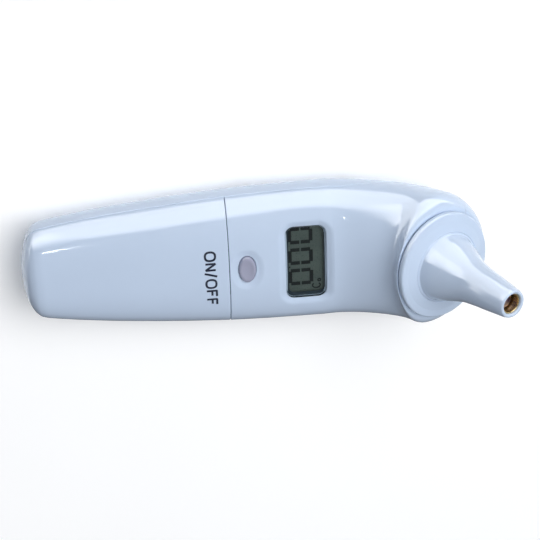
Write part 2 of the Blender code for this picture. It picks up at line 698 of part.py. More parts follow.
def make_parts_on_board():
    low, top = BOARD_LOW - 0.05, BOARD_TOP + 0.05
    chip = box("mcu_chip", (LENS_X - 4.5, -4.5, low - 1.4), (LENS_X + 4.5, 4.5, low), PIECES)
    piece(chip, (0.03, 0.03, 0.03), 0.5)
    x = NECK_X + 4.5
    chip = box("amplifier_chip", (x - 2.5, -2.0, top), (x + 2.5, 2.0, top + 1.5), PIECES)
    piece(chip, (0.03, 0.03, 0.03), 0.5)
    x = KEY_X + 1.0
    can = rounded_rectangle(x - 1.0, 6.6, 3.2, 1.1, 1.0, 4)
    piece(upright_prism("crystal", can, low - 2.2, low, PIECES), METAL, 0.3, 1.0)
    beeper = disc("buzzer", COIN_X, 0, 6.0, low - 3.6, low, PIECES, 32)
    boolean(beeper, disc("buzzer_hole", COIN_X, 0, 1.0, low - 5.0, low - 1.2, CUTTERS, 14))
    piece(beeper, (0.05, 0.05, 0.05), 0.45)


def make_battery():
    r = COIN_DIAMETER / 2
    floor = BOARD_TOP + 0.45
    cell_low = floor + 0.7
    cell_top = cell_low + COIN_THICKNESS
    lower = [(0, cell_low), (r - 0.9, cell_low), (r - 0.75, cell_low + 0.35),
             (r, cell_low + 0.55), (r, cell_top - 0.2), (r - 0.2, cell_top), (0, cell_top)]
    coin = revolve("coin_cell", lower, PIECES, 40, lambda u, v, h: (COIN_X + u, v, h))
    piece(coin, (0.74, 0.74, 0.75), 0.25, 1.0)
    tray = disc("battery_holder", COIN_X, 0, r + 1.7, BOARD_TOP + 0.05, cell_top - 0.6, PIECES, 40)
    boolean(tray, disc("tray_well", COIN_X, 0, r + 0.35, floor, 30.0, CUTTERS, 40))
    gate = box("tray_gate", (COIN_X - r - 4.0, -5.5, floor), (COIN_X - r * 0.6, 5.5, 30.0), CUTTERS)
    boolean(tray, gate)
    slot = box("tray_slot", (COIN_X + r - 1.5, -3.2, floor), (COIN_X + r + 4.0, 3.2, 30.0), CUTTERS)
    boolean(tray, slot)
    piece(tray, (0.06, 0.06, 0.065), 0.5)
    leaf = [(COIN_X - 7.0, floor + 0.05), (COIN_X + 1.0, floor + 0.05), (COIN_X + 5.2, floor + 0.45),
            (COIN_X + 6.6, floor + 0.2), (COIN_X + 6.6, floor + 0.42), (COIN_X + 5.2, floor + 0.68),
            (COIN_X + 0.9, floor + 0.28), (COIN_X - 7.0, floor + 0.28)]
    piece(side_prism("negative_contact", leaf, 2.0, PIECES), (0.80, 0.72, 0.50), 0.3, 1.0)
    x = COIN_X + r
    clip = [(x + 2.9, BOARD_TOP + 0.05), (x + 2.9, cell_top + 0.3), (x - 3.6, cell_top + 0.08),
            (x - 3.6, cell_top + 0.36), (x + 3.2, cell_top + 0.58), (x + 3.2, BOARD_TOP + 0.35),
            (x + 5.0, BOARD_TOP + 0.35), (x + 5.0, BOARD_TOP + 0.05)]
    piece(side_prism("positive_contact", clip, 2.4, PIECES), (0.80, 0.72, 0.50), 0.3, 1.0)


def screw(name, x, y, seat, reach, head, shank, up):
    """Screw with its head under (up) or over the seat, and a cross slot."""
    way = 1 if up else -1
    profile = [(0, seat - way * 1.6), (0.8 * head, seat - way * 1.6), (head, seat - way * 1.0),
               (head, seat), (shank, seat), (shank, seat + way * (reach - 0.8)),
               (0.3 * shank, seat + way * reach), (0, seat + way * reach)]
    made = revolve(name, profile, PIECES, 16, lambda u, v, h: (x + u, y + v, h))
    low, high = sorted((seat - way * 2.5, seat - way * 0.9))
    boolean(made, box(f"{name}_slot", (x - 1.2, y - 0.25, low), (x + 1.2, y + 0.25, high), CUTTERS))
    return piece(made, METAL, 0.3, 1.0)


def make_screws():
    number = 1
    for x in SCREW_X:
        for side in (-1, 1):
            screw(f"case_screw_{number}", x, side * SCREW_Y, 6.15, 9.4, 1.95, 0.98, True)
            number += 1
    for i, side in enumerate((-1, 1)):
        screw(f"pcb_screw_{i + 1}", PCB_SCREW_X, side * PCB_SCREW_Y, BOARD_TOP + 0.05, 6.0, 1.9,
              0.78, False)


clear_scene()
PIECES = collection("pieces")
CUTTERS = collection("cutters")
make_rear_shell()
make_front_shell()
make_battery_door()
make_head_cap()
make_probe_nozzle()
make_waveguide()
make_sensor()
make_sensor_flex()
make_display()
make_power_key()
make_scan_key()
make_board()
make_parts_on_board()
make_battery()
make_screws()
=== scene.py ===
"""Looks of the infrared ear thermometer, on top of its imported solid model."""
import math

import bpy
import numpy as np
from mathutils import Matrix, Vector


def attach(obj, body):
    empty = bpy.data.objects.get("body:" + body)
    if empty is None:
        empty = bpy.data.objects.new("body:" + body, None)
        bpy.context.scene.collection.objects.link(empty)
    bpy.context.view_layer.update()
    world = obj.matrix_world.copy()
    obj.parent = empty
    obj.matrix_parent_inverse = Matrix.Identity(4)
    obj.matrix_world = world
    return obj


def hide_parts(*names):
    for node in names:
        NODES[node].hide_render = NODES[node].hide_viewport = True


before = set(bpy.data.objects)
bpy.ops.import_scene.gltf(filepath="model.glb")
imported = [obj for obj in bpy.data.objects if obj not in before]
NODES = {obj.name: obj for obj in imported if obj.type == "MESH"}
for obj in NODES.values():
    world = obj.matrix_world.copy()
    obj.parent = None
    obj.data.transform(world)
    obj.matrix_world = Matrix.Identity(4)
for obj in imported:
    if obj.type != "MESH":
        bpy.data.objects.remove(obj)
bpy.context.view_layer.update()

# ---- sizes, millimetres, as in the solid model ------------------------------------------------
WALL = 1.8
LENS_WIDTH, LENS_LENGTH = 10.75, 20.6
HEAD_RADIUS, HEAD_SQUASH, HEAD_TILT = 14.9, 0.955, 64.0
PROBE_LENGTH, TIP_RADIUS, BORE_RADIUS, SENSOR_DEPTH = 28.7, 3.7, 2.75, 3.0
KEY_WIDTH, KEY_LENGTH = 4.6, 7.5
SEAM_X, KEY_X, LENS_X, NECK_X = 54.5, 59.2, 74.975, 82.0
HALF_WIDTH, HALF_FRONT, HALF_BACK = 19.1, 10.3, 11.2
SPINE_BUTT, SPINE_NECK = 10.4, 11.1
HEAD_X, HEAD_Z = 109.5, 26.4
BUTT_ROUND, SHOULDER_ROUND = 5.9, 4.4
PARTING, PARTING_HEAD = 2.5, -11.0
REST_X = 47.0
LENS_TOP, CELL_TOP = 19.3, 17.2
SCREW_X, SCREW_Y = (59.8, 87.5), 13.2
SCAN_X = 90.0
BEVEL_WIDTH, BEVEL_DEPTH = 2.1, 0.95
DIMPLE_WIDTH, DIMPLE_DEPTH = 2.2, 0.55
FINE_END, FINE_HALF = LENS_X + 7.3, 12.6    # the finely divided patch round display and key
# Sections along the middle line: where, as a share of its length, and the half width, front and
# back half thickness as shares of the three half sizes above.
SECTIONS = (
    (0.00, 0.64, 0.85, 0.77),   # butt
    (0.12, 0.76, 0.91, 0.90),
    (0.30, 0.88, 1.00, 1.00),   # battery
    (0.50, 0.97, 0.99, 1.00),
    (0.68, 1.00, 0.94, 0.99),   # display, the widest
    (0.82, 0.98, 1.07, 1.19),   # neck
    (0.92, 0.97, 1.15, 1.54),
    (1.00, 0.96, 1.38, 1.60),   # under the head's rim
)
SHARES, WIDTHS, FRONTS, BACKS = (np.array(column) for column in zip(*SECTIONS))


# ---- the housing's form -----------------------------------------------------------------------
def hermite(p, pull_p, q, pull_q, t):
    a, b = 2 * t**3 - 3 * t**2 + 1, t**3 - 2 * t**2 + t
    c, d = 3 * t**2 - 2 * t**3, t**3 - t**2
    return a * p + b * pull_p + c * q + d * pull_q


def middle_line():
    start = np.array([0.0, SPINE_BUTT])
    neck = np.array([NECK_X, SPINE_NECK])
    head = np.array([HEAD_X, HEAD_Z])
    along = (neck - start) / np.linalg.norm(neck - start)
    pull = 0.9 * np.linalg.norm(head - neck)
    handle = [start + (neck - start) * k / 200 for k in range(200)]
    bend = [hermite(neck, pull * along, head, pull * AXIS, k / 200) for k in range(201)]
    return np.array(handle + bend)


TILT = math.radians(HEAD_TILT)
AXIS = np.array([math.cos(TILT), math.sin(TILT)])
LINE = middle_line()
LENGTHS = np.concatenate([[0.0], np.cumsum(np.linalg.norm(np.diff(LINE, axis=0), axis=1))])
LENGTH = LENGTHS[-1]
WAYS = np.gradient(LINE, LENGTHS, axis=0)
WAYS[-1] = AXIS


def middle(q):
    """Points, directions and front directions of the middle line at distances q."""
    q = np.asarray(q, float)
    inside = np.clip(q, 0.0, LENGTH)
    point = np.stack([np.interp(inside, LENGTHS, LINE[:, k]) for k in (0, 1)], -1)
    along = np.stack([np.interp(inside, LENGTHS, WAYS[:, k]) for k in (0, 1)], -1)
    along = along / np.linalg.norm(along, axis=-1, keepdims=True)
    point = point + along * (q - inside)[..., None]
    return point, along, np.stack([-along[..., 1], along[..., 0]], -1)


def smooth(values, share):
    slopes = np.gradient(values, SHARES)
    i = np.clip(np.searchsorted(SHARES, share) - 1, 0, len(SHARES) - 2)
    wide = SHARES[i + 1] - SHARES[i]
    t = (share - SHARES[i]) / wide
    return hermite(values[i], wide * slopes[i], values[i + 1], wide * slopes[i + 1], t)


def half_sizes(q, inset):
    """Half width, front and back half thickness at distances q, inset into the wall."""
    share = np.clip(q / LENGTH, 0.0, 1.0)
    wide = HALF_WIDTH * smooth(WIDTHS, share)
    front = HALF_FRONT * smooth(FRONTS, share)
    back = HALF_BACK * smooth(BACKS, share)
    k = np.clip((q - LENGTH + SHOULDER_ROUND) / SHOULDER_ROUND, 0.0, 1.0)
    f = np.sqrt(np.clip(1 - k * k, 0.0, 1.0))
    low = HEAD_RADIUS * HEAD_SQUASH
    wide = np.where(k > 0, HEAD_RADIUS + (wide - HEAD_RADIUS) * f, wide)
    front = np.where(k > 0, low + (front - low) * f, front)
    back = np.where(k > 0, low + (back - low) * f, back)
    k = np.clip((q - inset) / (BUTT_ROUND - 0.3 * inset), 0.0, 1.0)
    cap = np.sqrt(np.clip(1 - (1 - k) ** 2.4, 0.0, 1.0))
    return [(size - inset) * cap for size in (wide, front, back)]


def power(q):
    return 2.5 - 0.5 * np.clip((q / LENGTH - 0.7) / 0.22, 0.0, 1.0)


def form(q, a, inset=0.0):
    """Points of the housing's form, in millimetres, at distances q and section angles a."""
    q, a = np.broadcast_arrays(np.asarray(q, float), np.asarray(a, float))
    centre, along, front_way = middle(q)
    wide, front, back = half_sizes(q, inset)
    e = 2 / power(q)
    c, s = np.cos(a), np.sin(a)
    y = wide * np.sign(c) * np.abs(c) ** e
    h = np.where(s > 0, front, back) * np.sign(s) * np.abs(s) ** e
    return np.stack([centre[..., 0] + front_way[..., 0] * h, y,
                     centre[..., 1] + front_way[..., 1] * h], -1)


def place(points):
    """Millimetres from the butt to metres from the row frame's origin."""
    return (np.asarray(points, float) - (REST_X, 0.0, 0.0)) * 0.001


def front_height(x, y):
    """Height of the front of the handle over a point, in millimetres."""
    x, y = np.asarray(x, float), np.asarray(y, float)
    centre, along, front_way = middle(x)
    wide, front, back = half_sizes(x, 0.0)
    e = power(x)
    return centre[..., 1] + front * np.clip(1 - np.abs(y / wide) ** e, 0, 1) ** (1 / e)


def on_probe(across, side, height):
    """Point at a height above the head's rim plane, off the probe's axis, in millimetres."""
    across, side, height = np.broadcast_arrays(across, side, height)
    x = HEAD_X + AXIS[0] * height + AXIS[1] * across
    z = HEAD_Z + AXIS[1] * height - AXIS[0] * across
    return np.stack([x, side, z], -1)


# ---- meshes -----------------------------------------------------------------------------------
def mesh_piece(name, points, faces, body, *replaced, slot=None, flat=False):
    data = bpy.data.meshes.new(name)
    data.from_pydata(place(points).tolist(), [], [tuple(int(i) for i in f) for f in faces])
    data.validate()
    if not flat:
        data.polygons.foreach_set("use_smooth", [True] * len(data.polygons))
    made = bpy.data.objects.new(name, data)
    bpy.context.scene.collection.objects.link(made)
    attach(made, body)
    if replaced:
        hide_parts(*replaced)
    return made


def grid_faces(rows, columns, closed_columns=False, closed_rows=False):
    r = np.arange(rows if closed_rows else rows - 1)
    c = np.arange(columns if closed_columns else columns - 1)
    r, c = np.meshgrid(r, c, indexing="ij")
    r2, c2 = (r + 1) % rows, (c + 1) % columns
    quads = np.stack([r * columns + c, r * columns + c2, r2 * columns + c2, r2 * columns + c], -1)
    return quads.reshape(-1, 4)


def fillet(distance, radius):
    s = np.clip(distance, 0.0, radius)
    return radius - np.sqrt(np.clip(radius**2 - (radius - s) ** 2, 0.0, None))


def edge_steps(length, fine=0.05, grow=1.5, most=1.0):
    """Distances from an edge: fine steps that grow to the coarsest, out to a length."""
    steps, at, step = [0.0], 0.0, fine
    while at + step < length:
        at += step
        steps.append(at)
        step = min(step * grow, most)
    return steps


def skin(q, a, ends, radius=0.2):
    """Outer and inner grids of a shell piece, its edges rounded. ends gives the end radii."""
    outer = form(q, a)
    inner_q = np.where(q < 60, WALL + q * (60 - WALL) / 60, q)
    inner = form(inner_q, a, WALL)
    steps = np.linalg.norm(np.diff(outer, axis=1), axis=-1)
    from_start = np.concatenate([np.zeros((len(q), 1)), np.cumsum(steps, 1)], 1)
    from_edge = np.minimum(from_start, from_start[:, -1:] - from_start)
    rows = q[:, :1]
    sink = fillet(from_edge, radius)
    for size, away in zip(ends, (rows - rows[0], rows[-1] - rows)):
        if size:
            sink = np.maximum(sink, fillet(away, size))
    sink = sink[..., None] / WALL
    return outer + (inner - outer) * sink, inner


def closed_shell(outer, inner):
    """Points and faces of a solid between two equal grids."""
    rows, columns = outer.shape[:2]
    count = rows * columns
    points = np.concatenate([outer.reshape(-1, 3), inner.reshape(-1, 3)])
    quads = grid_faces(rows, columns)
    faces = [quads, quads[:, ::-1] + count]
    ring = np.concatenate([np.arange(columns), np.arange(1, rows) * columns + columns - 1,
                           count - 2 - np.arange(columns - 1),
                           np.arange(rows - 2, 0, -1) * columns])
    after = np.roll(ring, -1)
    faces.append(np.stack([after, ring, ring + count, after + count], -1))
    return points, np.concatenate(faces)


def parting_angle(q, offset):
    """Section angle at which the parting line runs, moved toward the front by offset."""
    front, back = half_sizes(q, 0.0)[1:]
    t = np.clip((q - NECK_X - 2.0) / (LENGTH - NECK_X - 2.0), 0.0, 1.0)
    height = PARTING + (PARTING_HEAD - PARTING) * t * t * (3 - 2 * t) + offset
    half = np.maximum(np.where(height > 0, front, back), 1e-6)
    share = np.clip(np.abs(height) / half, 0.0, 1.0)
    return np.sign(height) * np.arcsin(share ** (power(q) / 2))


def butt_stations(first):
    """Distances from the butt that divide its rounded end evenly."""
    caps = np.linspace(first, 1.0, 40)[:-1]
    return BUTT_ROUND * (1 - (1 - caps**2) ** (1 / 2.4))


def spread(low, high, count, fine):
    """Shares from low to high, closer together near both ends."""
    t = np.linspace(0, 1, count)
    return low + (high - low) * (t - fine * np.sin(2 * math.pi * t) / (2 * math.pi))


# ---- housing shells ---------------------------------------------------------------------------
LINE_GAP = 0.07


def make_battery_door():
    end = SEAM_X - LINE_GAP
    first = (PARTING + LINE_GAP) / (HALF_FRONT * FRONTS[0]) * 1.001
    body = np.arange(BUTT_ROUND, end - 1.2, 0.6)
    tail = end - np.array(edge_steps(1.2))[::-1]
    q = np.concatenate([butt_stations(first), body, tail])[:, None]
    low = parting_angle(q, LINE_GAP)
    a = low + (math.pi - 2 * low) * spread(0, 1, 150, 0.93)[None, :]
    outer, inner = skin(q + 0 * a, a, (0.0, 0.2))
    points, faces = closed_shell(outer, inner)
    return mesh_piece("door_skin", points, faces, "door", "battery_door")


def well_outline(x, y):
    """Signed distance to the nearest of the four screw wells."""
    away = [np.hypot(x - a, np.abs(y) - SCREW_Y) for a in SCREW_X]
    return np.minimum(*away) - 2.25


def scan_outline(x, y):
    return np.hypot(x - SCAN_X, y) - 4.65


def drill_back(points, inner):
    """Snaps the back's grids to the wells' and the hole's edges and sinks what lies in them."""
    x, y, z = np.moveaxis(points, -1, 0)
    back = (z < 6.0) & (x > SCREW_X[0] - 4) & (x < SCAN_X + 8)
    sx, sy = snap(x, y, well_outline, 0.11)
    sx, sy = snap(sx, sy, scan_outline, 0.11)
    well, hole = well_outline(sx, sy), scan_outline(sx, sy)
    edge = np.minimum(well, hole)
    t = np.clip(edge / 0.4, 0.0, 1.0)
    sz = z + 0.22 * (1 - np.sqrt(np.clip(1 - (1 - t) ** 2, 0, 1)))
    sz = np.where(well < -0.02, 6.2, np.where(hole < -0.02, 6.0, sz))
    outer = np.stack([np.where(back, sx, x), np.where(back, sy, y), np.where(back, sz, z)], -1)
    raised = np.where(back & (well < 0.65), 7.4, np.where(back & (hole < 0.65), 6.3, inner[..., 2]))
    inner = np.concatenate([inner[..., :2], np.maximum(raised, inner[..., 2])[..., None]], -1)
    return outer, inner, back & (hole < -0.3)


def make_rear_shell():
    body = np.arange(BUTT_ROUND, SCREW_X[0] - 4, 0.6)
    fine = np.arange(SCREW_X[0] - 4, SCAN_X + 9, 0.2)
    rest = np.arange(SCAN_X + 9, LENGTH - SHOULDER_ROUND, 0.6)
    rim = LENGTH - SHOULDER_ROUND * (1 - np.sin(np.linspace(0, math.pi / 2, 24)))
    tail = rim[:-4]
    first = np.linspace(0.0, 0.28, 10)
    q = np.concatenate([BUTT_ROUND * (1 - (1 - first**2) ** (1 / 2.4)), butt_stations(0.286),
                        body, fine, rest, tail,
                        LENGTH - np.array(edge_steps(LENGTH - tail[-1]))[::-1]])[:, None]
    low = parting_angle(q, -LINE_GAP)
    wide = half_sizes(q, 0.0)[0]
    flat = 15.8 * np.clip(wide / HALF_WIDTH, 0.0, 1.0)
    edge = np.arccos((flat / np.maximum(wide, 1e-6)) ** (power(q) / 2))
    side = spread(0, 2, 72, 0.97)[None, :36]
    left = math.pi - low + (low + edge) * side
    band = np.linspace(-1.0, 1.0, 159)[None, :] * flat
    centre = np.arccos(np.sign(band) * (np.abs(band) / np.maximum(wide, 1e-6)) ** (power(q) / 2))
    a = np.concatenate([left[:, :-1], 2 * math.pi - centre, 3 * math.pi - left[:, -2::-1]], 1)
    outer, inner = skin(q + 0 * a, a, (0.0, 0.06))
    outer, inner, hidden = drill_back(outer, inner)
    outer[..., 2] = np.maximum(outer[..., 2], 0.0)
    points, faces = closed_shell(outer, inner)
    hidden = np.concatenate([hidden.ravel(), hidden.ravel()])
    faces = faces[~hidden[faces].all(axis=1)]
    return mesh_piece("rear_skin", points, faces, "housing", "rear_shell")


def rounded_distance(x, y, half_x, half_y, radius):
    """Signed distance to a rounded rectangle about the origin, less than 0 inside."""
    dx, dy = np.abs(x) - half_x + radius, np.abs(y) - half_y + radius
    out = np.hypot(np.maximum(dx, 0), np.maximum(dy, 0))
    return out + np.minimum(np.maximum(dx, dy), 0) - radius


def oval_distance(x, y, half_x, half_y):
    k = np.hypot(x / half_x, y / half_y)
    slope = np.hypot(x / half_x**2, y / half_y**2)
    return (k - 1) * k / np.maximum(slope, 1e-6)


def snap(x, y, distance, reach):
    """Moves grid points that are close to an outline onto it."""
    e = 1e-3
    d = distance(x, y)
    gx = (distance(x + e, y) - distance(x - e, y)) / (2 * e)
    gy = (distance(x, y + e) - distance(x, y - e)) / (2 * e)
    near = np.abs(d) < reach
    return np.where(near, x - gx * d, x), np.where(near, y - gy * d, y)


def lens_outline(x, y):
    return rounded_distance(x - LENS_X, y, LENS_WIDTH / 2 + 0.12, LENS_LENGTH / 2 + 0.12, 2.3)


def key_outline(x, y):
    return oval_distance(x - KEY_X, y, KEY_WIDTH / 2 + 0.16, KEY_LENGTH / 2 + 0.16)


def carve(x, y, z):
    """Sinks the display's bevelled recess and the key's dimple and hole into the front."""
    d = lens_outline(x, y)
    t = np.clip(1 - d / BEVEL_WIDTH, 0.0, 1.0)
    ease = 0.45
    slope = np.where(t < ease, t * t / (2 * ease), t - ease / 2) / (1 - ease / 2)
    z = z - BEVEL_DEPTH * slope
    z = np.where(d < -0.02, CELL_TOP - 0.3, z)
    d = key_outline(x, y)
    t = np.clip(1 - d / DIMPLE_WIDTH, 0.0, 1.0)
    z = z - DIMPLE_DEPTH * t * t * (3 - 2 * t)
    return np.where(d < -0.02, 17.0, z)


def make_front_shell():
    start = SEAM_X + LINE_GAP
    head = np.array(edge_steps(1.0)) + start
    fine = np.arange(head[-1] + 0.15, FINE_END + 0.2, 0.15)
    body = np.arange(fine[-1] + 0.4, LENGTH - SHOULDER_ROUND, 0.4)
    rim = LENGTH - SHOULDER_ROUND * (1 - np.sin(np.linspace(0, math.pi / 2, 24)))
    tail = LENGTH - np.array(edge_steps(LENGTH - rim[-5]))[::-1]
    q = np.concatenate([head, fine, body, rim[:-4], tail])[:, None]
    inner_band = np.arange(-FINE_HALF, FINE_HALF + 0.01, 0.15)[None, :]
    wide = half_sizes(q, 0.0)[0]
    edge = np.arccos((FINE_HALF / wide) ** (power(q) / 2))
    low = parting_angle(q, LINE_GAP)
    side = spread(0, 2, 60, 0.97)[None, :30]
    right = low + (edge - low) * side
    centre = np.arccos(np.sign(-inner_band) * (np.abs(inner_band) / wide) ** (power(q) / 2))
    a = np.concatenate([right[:, :-1], math.pi - centre, (math.pi - right)[:, -2::-1]], 1)
    a = np.sort(a, axis=1)
    q = q + 0 * a
    outer, inner = skin(q, a, (0.2, 0.06))
    x, y, z = outer[..., 0], outer[..., 1], outer[..., 2]
    flat = (x > SEAM_X + 0.6) & (x < FINE_END) & (np.abs(y) < FINE_HALF - 0.05)
    sx, sy = snap(x, y, lens_outline, 0.085)
    sx, sy = snap(sx, sy, key_outline, 0.085)
    sz = carve(sx, sy, front_height(sx, sy))
    x, y, z = np.where(flat, sx, x), np.where(flat, sy, y), np.where(flat, sz, z)
    outer = np.stack([x, y, z], -1)
    points, faces = closed_shell(outer, inner)
    px, py = points[:, 0], points[:, 1]
    count = len(points) // 2
    inside = np.minimum(lens_outline(px, py) + 0.4, key_outline(px, py) + 0.3) < 0
    inside &= (px < FINE_END) & (px > SEAM_X)
    hidden = inside & ((np.arange(len(points)) >= count) | (key_outline(px, py) < -0.3))
    faces = faces[~hidden[faces].all(axis=1)]
    made = mesh_piece("front_skin", points, faces, "housing", "front_shell")
    mark_recess(made.data)
    return made


def mark_recess(data):
    """Gives the display recess's upright walls the piece's second material, a near-black painted
    shade.
    """
    middles = np.empty(3 * len(data.polygons))
    data.polygons.foreach_get("center", middles)
    x, y, z = (middles.reshape(-1, 3) * 1000.0 + (REST_X, 0.0, 0.0)).T
    wall = (lens_outline(x, y) < 0.0) & (x > SEAM_X) & (x < FINE_END) & (z > CELL_TOP - 0.8)
    data.polygons.foreach_set("material_index", wall.astype(int))


def turned(name, profile, body, *replaced, steps=128, squash=False, **options):
    """Revolves a closed profile of (radius, height) about the probe's axis. With squash, it
    draws in to the rim's shorter half axis outside the cap's hole."""
    profile = np.array(profile, float)
    angle = np.linspace(0, 2 * math.pi, steps, endpoint=False)[:, None]
    r, h = profile[None, :, 0], profile[None, :, 1]
    across, side = r * np.cos(angle), r * np.sin(angle)
    if squash:
        share = np.clip((r - 11.4) / (HEAD_RADIUS - 11.4), 0.0, 1.0)
        across = across * (1 - share * (1 - HEAD_SQUASH))
    points = on_probe(across, side, h + 0 * across)
    faces = grid_faces(steps, len(profile), True, True)
    return mesh_piece(name, points.reshape(-1, 3), faces, body, *replaced, **options)


def rounded_profile(corners):
    """Closed profile through (radius, height, corner radius) corners, the corners as arcs."""
    corners = np.array(corners, float)
    count = len(corners)
    out = []
    for i in range(count):
        p, here, n = corners[i - 1], corners[i], corners[(i + 1) % count]
        a, b = p[:2] - here[:2], n[:2] - here[:2]
        la, lb = np.linalg.norm(a), np.linalg.norm(b)
        a, b = a / la, b / lb
        half = math.acos(np.clip(a @ b, -1, 1)) / 2
        if here[2] <= 0 or half > 1.55:
            out.append(here[:2])
            continue
        cut = min(here[2] / math.tan(half), 0.48 * la, 0.48 * lb)
        for t in np.linspace(0, 1, 7):
            s, e = here[:2] + a * cut, here[:2] + b * cut
            out.append((1 - t) ** 2 * s + 2 * t * (1 - t) * here[:2] + t**2 * e)
    return out


def make_head_cap():
    """Domed ring round the probe; its rim leaves a V-shaped groove at the housing."""
    rim = HEAD_RADIUS - 0.15
    corners = [(rim - 0.6, 0.05, 0), (rim, 0.65, 0.08), (rim, 2.05, 1.5), (rim - 2.3, 2.35, 1.5),
               (9.9, 3.05, 0.1), (9.74, 2.9, 0.05), (9.74, 1.1, 0), (10.95, 1.1, 0),
               (10.95, -1.0, 0), (11.65, -1.0, 0), (11.65, 0.05, 0)]
    return turned("cap_skin", rounded_profile(corners), "housing", "head_cap", squash=True)


def make_probe():
    """Flared probe with a rounded lip, its bore and the hollow behind it."""
    full = PROBE_LENGTH
    share = np.array([0.1035, 0.109, 0.130, 0.195, 0.325, 0.452, 0.593, 0.72, 0.85, 0.96])
    radius = np.array([9.7, 9.4, 9.08, 8.5, 7.05, 5.85, 5.15, 4.75, 4.3, TIP_RADIUS + 0.2])
    fine = np.concatenate([np.linspace(share[0], share[2], 12), np.linspace(share[2], 0.96, 60)[1:]])
    slopes = np.gradient(radius, share)
    i = np.clip(np.searchsorted(share, fine) - 1, 0, len(share) - 2)
    wide = share[i + 1] - share[i]
    r = hermite(radius[i], wide * slopes[i], radius[i + 1], wide * slopes[i + 1],
                (fine - share[i]) / wide)
    outer = [(a, b * full) for a, b in zip(r, fine)]
    half = (TIP_RADIUS - BORE_RADIUS) / 2
    lip = []
    for k in range(13):
        t = math.pi * k / 12
        lip.append((BORE_RADIUS + half + half * math.cos(t), full - half + half * math.sin(t)))
    low = full - 11.0
    inner = [(BORE_RADIUS, low), (3.9, low - 1.2), (4.4, 0.452 * full), (5.6, 0.325 * full),
             (7.0, 0.195 * full), (8.1, 0.09 * full), (8.1, -0.3)]
    base = [(10.75, -0.3), (10.75, 0.75), (9.7, 0.75)]
    return turned("probe_skin", base + outer + lip + inner, "housing", "probe_nozzle")


def make_gold_sleeve():
    r, low, high = BORE_RADIUS - 0.05, PROBE_LENGTH - SENSOR_DEPTH - 4.5, PROBE_LENGTH - 0.7
    profile = [(r, low, 0), (r, high, 0.1), (r - 0.3, high, 0.15), (r - 0.3, low, 0)]
    return turned("gold_sleeve", rounded_profile(profile), "housing", "waveguide")


def make_scan_key():
    """Key on the back, slightly dished, with the collar that keeps it in."""
    z = scan_height() + 0.25
    profile = [(0.01, z + 0.3), (1.6, z + 0.26), (3.0, z + 0.14), (3.9, z + 0.02)]
    profile += [(4.1 + 0.4 * math.sin(t), z + 0.4 - 0.4 * math.cos(t))
                for t in np.linspace(0, math.pi / 2, 8)]
    profile += [(4.5, z + 2.5), (5.6, z + 2.55), (5.6, z + 3.4), (1.5, z + 3.45), (1.5, 8.2),
                (0.01, 8.2)]
    angle = np.linspace(0, 2 * math.pi, 96, endpoint=False)
    points = [(SCAN_X + r * math.cos(t), r * math.sin(t), h) for t in angle for r, h in profile]
    faces = grid_faces(96, len(profile), True, True)
    return mesh_piece("scan_cap", np.array(points), faces, "scan_key", "scan_button")


def scan_height():
    """Height of the housing's back at the scan key, as in the solid model."""
    q = LENGTH * np.arange(400) / 400
    centre, along, front_way = middle(q)
    back = centre - front_way * half_sizes(q, 0.0)[2][:, None]
    return max(back[np.argmin(np.abs(back[:, 0] - SCAN_X)), 1], 0.0)


def make_key():
    """Power key: an oval cap with a rounded rim and a dished top."""
    rim = float(front_height(KEY_X, 0.0)) + 0.25
    rings = [(1.0, rim - 3.4), (1.0, rim - 0.7)]
    rings += [(0.72 + 0.28 * math.cos(t), rim - 0.7 + 0.7 * math.sin(t))
              for t in np.linspace(0.15, math.pi / 2, 12)]
    rings += [(0.70 * s, rim - 0.25 * (1 - s * s)) for s in np.linspace(0.95, 0.02, 16)]
    angle = np.linspace(0, 2 * math.pi, 96, endpoint=False)
    points = np.array([[(KEY_X + s * KEY_WIDTH / 2 * math.cos(t), s * KEY_LENGTH / 2 * math.sin(t),
                         h) for t in angle] for s, h in rings])
    rows, columns = points.shape[:2]
    faces = [tuple(f) for f in grid_faces(rows, columns, True)]
    faces.append(tuple(range(columns))[::-1])
    faces.append(tuple((rows - 1) * columns + np.arange(columns)))
    return mesh_piece("key_cap", points.reshape(-1, 3), faces, "power_key", "power_button")


# ---- print and display ------------------------------------------------------------------------
def ribbon(path, wide, base, thick, closed=False, step=0.2):
    """Points and faces of a raised stroke along a path in X and Y, on the surface base."""
    path = np.array(path, float)
    if closed:
        path = np.concatenate([path, path[:1]])
    legs = np.linalg.norm(np.diff(path, axis=0), axis=1)
    at = np.concatenate([[0.0], np.cumsum(legs)])
    count = max(int(at[-1] / step), 2) + 1
    where = np.unique(np.concatenate([np.linspace(0, at[-1], count), at[1:-1]]))
    if closed:
        where = where[:-1]
    x, y = (np.interp(where, at, path[:, k]) for k in (0, 1))
    if closed:
        way = np.stack([np.roll(x, -1) - np.roll(x, 1), np.roll(y, -1) - np.roll(y, 1)], -1)
    else:
        way = np.stack([np.gradient(x), np.gradient(y)], -1)
    way /= np.linalg.norm(way, axis=1, keepdims=True)
    rings = []
    for side, up in ((-0.5, -1.0), (-0.5, 1.0), (0.5, 1.0), (0.5, -1.0)):
        px, py = x - way[:, 1] * side * wide, y + way[:, 0] * side * wide
        rings.append(np.stack([px, py, base(px, py) + up * thick], -1))
    points = np.stack(rings, 1)
    faces = [tuple(f) for f in grid_faces(len(x), 4, True, closed)]
    if not closed:
        faces += [(0, 1, 2, 3), tuple(4 * (len(x) - 1) + k for k in (3, 2, 1, 0))]
    return points.reshape(-1, 3), faces


